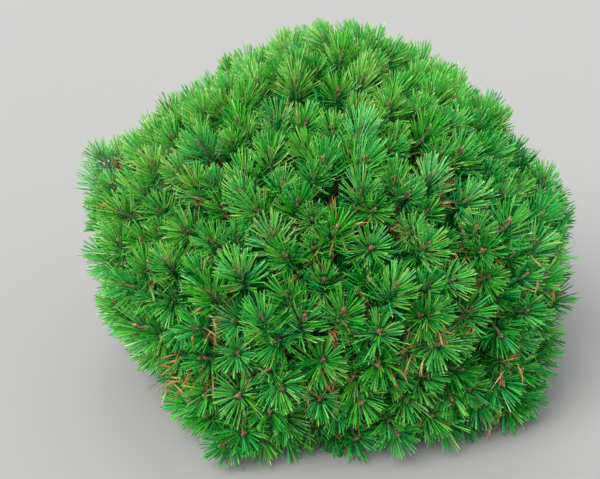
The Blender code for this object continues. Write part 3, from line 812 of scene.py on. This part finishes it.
def build_old_needles(name, paths, pairs, ring, bare, clothed, finishes, rng):
    """Sparser and darker pairs down each curve, which leave its end bare and clothe a length behind that,
    with dead ones among them, most of all low down and in pockets. Their greens are paler higher up, as
    painted light."""
    shape = (len(paths), pairs)
    lengths = np.linalg.norm(np.diff(paths, axis=1), axis=-1).sum(-1)
    back = bare + clothed * rng.random(shape)
    share = np.clip(1 - back / lengths[:, None], *CLOTHED_SPAN) * (paths.shape[1] - 1)
    low = np.floor(share).astype(int)
    row = np.arange(len(paths))[:, None]
    start, end = paths[row, low], paths[row, low + 1]
    foot = start + (end - start) * (share - low)[..., None]
    axis = unit(end - start)
    spoke = unit(np.cross(axis, rng.normal(size=(*shape, 3))))
    angle = rng.uniform(*OLD_ANGLES, shape)
    length = NEEDLE_LENGTH[1] * rng.uniform(*OLD_LENGTHS, shape)
    foot = foot + OLD_FOOT * SHOOT_RADIUS * spoke
    points = paired_needles(foot, axis, spoke, angle, length, OLD_SPREAD, (ring,), OLD_CORNERS, rng)
    height = np.clip(foot[..., 2] / CROWN_HEIGHT, 0, 1)
    pocket = rng.random((len(paths), 1)) < POCKET_SHARE
    chance = np.where(pocket, POCKET_DEAD, OTHER_DEAD) * lerp(DEAD_LOW, DEAD_HIGH, np.sqrt(height))
    dead = rng.random(shape) < chance
    # Painted light: paler with the height
    level = np.round(rng.normal(OLD_LEVEL + OLD_BY_HEIGHT * height, OLD_LEVEL_STRAY))
    live_slot = len(FOOT_GREENS) + np.clip(level, 0, OLD_TOP_LEVEL)
    dead_slot = len(finishes) - len(DEAD_TINTS) + rng.integers(0, len(DEAD_TINTS), shape)
    old_needles_piece(name, points, finishes, np.where(dead, dead_slot, live_slot))


def build_caught_needles(finishes):
    """Loose tufts of dead pairs that lie just under the crown's surface among the lower sprays. The pairs of
    a tuft hang from nearly the same point, down and outwards."""
    rng = np.random.default_rng(CAUGHT_SEED)
    points = crown_points(rng, CAUGHT_TRIES, CAUGHT_HEIGHTS)[:CAUGHT_TUFTS]
    out = outward(points)
    centres = points - rng.uniform(*CAUGHT_DEPTHS, (len(points), 1)) * out
    shape = (len(points), CAUGHT_PAIRS)
    foot = above_floor(centres[:, None] + CAUGHT_STRAY * rng.normal(size=(*shape, 3)))
    outwards, down, astray = CAUGHT_HANG
    hang = unit(outwards * out - down * UP + astray * rng.normal(size=out.shape))
    axis = unit(hang[:, None] + CAUGHT_LEAN * rng.normal(size=(*shape, 3)))
    spoke = unit(np.cross(axis, rng.normal(size=(*shape, 3))))
    length = NEEDLE_LENGTH[0] * rng.uniform(*CAUGHT_LENGTHS, shape)
    angle = np.full(shape, CAUGHT_ANGLE)
    points = paired_needles(foot, axis, spoke, angle, length, OLD_SPREAD, (CAUGHT_RING,), OLD_CORNERS, rng)
    old_needles_piece("caught_needles", points, finishes, rng.integers(0, len(finishes), shape))


def bud_points(centres, axes, length, radius, rows, columns):
    """Pointed ovals with scales: the radius swells and closes along the bud, with a step at every row."""
    t = np.linspace(0, 1, rows)
    swell = np.sin(np.pi * lerp(BUD_FOOT, 1, t) ** BUD_FULLNESS) * (1 - BUD_TAPER * t)
    step = 1 + BUD_STEP * np.where(np.arange(rows) % 2 == 0, 1, -1)
    profile = np.maximum(swell * step, BUD_POINT)
    paths = centres[:, None] + (t * length[:, None])[..., None] * axes[:, None]
    radii = (radius[:, None] * profile)[..., None] + np.zeros(columns)
    return tube_points(paths, radii, columns)


def build_buds(buds, axes, vigour, finishes, rng):
    """A large bud at every shoot's tip, and small ones that lean out round it, with rows of dark and pale
    scales by turns."""
    length, radius = BUD_LENGTH * vigour, BUD_RADIUS * vigour
    side, other = shoot_frames(axes, rng)
    points, triangles, slots, offset = [], [], [], 0
    for k in range(1 + SIDE_BUDS):
        rows, columns = MIDDLE_BUD_GRID if k == 0 else SIDE_BUD_GRID
        stray = rng.uniform(-SIDE_BUD_TURN, SIDE_BUD_TURN, len(buds))[:, None]
        turn = 2 * math.pi * k / SIDE_BUDS + stray
        spoke = (k > 0) * (np.cos(turn) * side + np.sin(turn) * other)
        sunk = BUD_SUNK + SIDE_BUD_SUNK * (k > 0)
        centre = buds + SIDE_BUD_OFF * radius[:, None] * spoke - sunk * axes
        size = rng.uniform(*SIDE_BUD_SIZES, len(buds)) if k else np.ones(len(buds))
        lean = unit(axes + SIDE_BUD_LEAN * spoke)
        points.append(bud_points(centre, lean, size * length, size * radius, rows, columns).reshape(-1, 3))
        each = tube_triangles(rows, columns)
        triangles.append(offset + repeated(each, len(buds), rows * columns))
        band = np.minimum(np.arange(len(each)) // (2 * columns), rows - 2)
        dark = rng.integers(*DARK_SCALES, (len(buds), 1))
        pale = rng.integers(*PALE_SCALES, (len(buds), 1))
        slots.append(np.where(band[None] % 2 == 0, dark, pale).ravel())
        offset += len(points[-1])
    piece = mesh_piece("buds", np.vstack(points), np.vstack(triangles), finishes, np.concatenate(slots))


def plain_finishes(name, tints, roughness, gloss=None):
    """A finish for each tint, numbered from 1. Gloss is the specular level of the first and the last."""
    made = []
    for k, tint in enumerate(tints):
        finish = Finish(f"{name}_{k + 1}", Base_Color=colour(*tint), Roughness=roughness)
        if gloss:
            finish.drive(Specular_IOR_Level=lerp(*gloss, k / (len(tints) - 1)))
        made.append(finish)
    return made


def needle_greens():
    """The finishes of the live needles, in the order in which needle_slots counts them."""
    ladders = {"foot": FOOT_GREENS, "cool": COOL_GREENS, "plain": PLAIN_GREENS, "yellow": YELLOW_GREENS}
    ladders["tip"] = TIP_GREENS
    greens = []
    for part, tints in ladders.items():
        greens += plain_finishes(f"needle_{part}", tints, NEEDLE_ROUGHNESS, NEEDLE_GLOSS)
    return greens


def build_plant():
    """The trunk, the boughs, and the foliage on the stem that ends at each mass's seed."""
    for mass in MASSES:
        radius = crown_radius(mass["way"])
        mass["seed"] = HEART + SEED_SHARE * radius * mass["way"]
        mass["stem"] = HEART + STEM_SHARE * radius * mass["way"]
        mass["stem_radius"] = BOUGH_RADII.get(mass["ring"], [TRUNK_TIP_RADIUS])[-1]
    tip_height = MASSES[0]["stem"][2]
    bark = bark_finish()
    trunk_piece(tip_height, bark)
    boughs_piece(tip_height, bark)
    greens = needle_greens()
    dead = plain_finishes("dead_needle", DEAD_TINTS, DEAD_ROUGHNESS)
    buds = plain_finishes("bud_scale", BUD_TINTS, BUD_ROUGHNESS)
    build_foliage({"greens": greens, "dead": dead, "buds": buds, "twig": twig_finish()})


def floor_and_light():
    """A plain pale floor, a soft sky, a broad sun from the front left and a weak one from behind."""
    finish = Finish("pale_floor", Base_Color=FLOOR_COLOUR, Roughness=FLOOR_ROUGHNESS)
    corners = np.array([(-1, -1, 0), (1, -1, 0), (1, 1, 0), (-1, 1, 0)]) * FLOOR_REACH
    mesh = bpy.data.meshes.new("floor")
    mesh.from_pydata(corners.tolist(), [], [(0, 1, 2, 3)])
    mesh.materials.append(finish.material)
    floor = bpy.data.objects.new("floor", mesh)
    bpy.context.scene.collection.objects.link(floor)
    world = bpy.data.worlds.new("sky")
    world.use_nodes = True
    background = world.node_tree.nodes["Background"]
    background.inputs["Color"].default_value = SKY_COLOUR
    background.inputs["Strength"].default_value = SKY_STRENGTH
    bpy.context.scene.world = world
    for name, azimuth, elevation, spread, power in SUNS:
        light = bpy.data.lights.new(name, "SUN")
        light.angle = math.radians(spread)
        light.energy = power
        lamp = bpy.data.objects.new(name, light)
        lamp.rotation_euler = Vector(direction(azimuth, elevation)).to_track_quat("Z", "Y").to_euler()
        bpy.context.scene.collection.objects.link(lamp)


def camera():
    """Looks from the photograph's angle, turned so that the heart falls on its pixel."""
    elevation = math.radians(CAMERA_ELEVATION)
    forward = np.array((0, math.cos(elevation), -math.sin(elevation)))
    upward = np.array((0, math.sin(elevation), math.cos(elevation)))
    focal = PIXELS_PER_METRE * CAMERA_DISTANCE
    off_right, off_down = HEART_PIXEL[0] - IMAGE_WIDTH / 2, HEART_PIXEL[1] - IMAGE_HEIGHT / 2
    aim = forward - off_right / focal * RIGHT + off_down / focal * upward
    data = bpy.data.cameras.new("view")
    data.sensor_width = SENSOR_WIDTH
    data.lens = SENSOR_WIDTH * focal / IMAGE_WIDTH
    eye = bpy.data.objects.new("view", data)
    eye.location = HEART - CAMERA_DISTANCE * forward
    eye.rotation_euler = Vector(aim).to_track_quat("-Z", "Y").to_euler()
    bpy.context.scene.collection.objects.link(eye)
    bpy.context.scene.camera = eye
    bpy.context.scene.view_settings.view_transform = "Standard"


build_plant()
floor_and_light()
camera()
